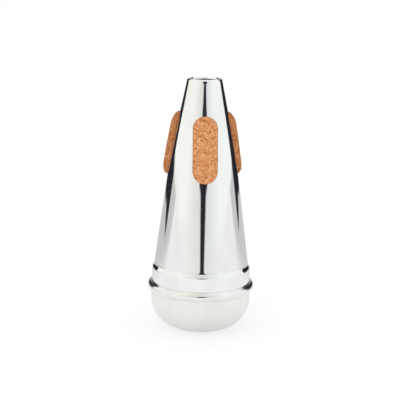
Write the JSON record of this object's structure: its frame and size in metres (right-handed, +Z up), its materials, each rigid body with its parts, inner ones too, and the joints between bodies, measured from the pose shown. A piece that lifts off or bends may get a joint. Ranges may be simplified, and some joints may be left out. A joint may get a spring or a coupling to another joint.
{
  "type": "trumpet mute",
  "caption": "Hollow straight trumpet mute: a tapered aluminium cone open at its narrow end, a domed end cap rolled on in a bead, and cork pads that grip the bell.",
  "frame": {"origin": "on the mute's axis, in the plane of the flat under the end cap that it stands on", "axes": "+Z up the mute's axis from the end cap to the open mouth, -Y out through the front cork pad, +X to the right seen from the front"},
  "size_m": [0.06, 0.06, 0.142],
  "materials": {
    "cone_aluminium": "polished",
    "cap_aluminium": "polished, a little softer than the cone",
    "cork": "granular sheet cork",
    "adhesive": "dull film"
  },
  "bodies": {
    "root": {"cone_body": "cone_aluminium", "end_cap": "cap_aluminium", "cork_pad_front": "cork", "cork_pad_right": "cork", "cork_pad_left": "cork", "pad_adhesive_front": "adhesive", "pad_adhesive_right": "adhesive", "pad_adhesive_left": "adhesive"}
  },
  "joints": []
}
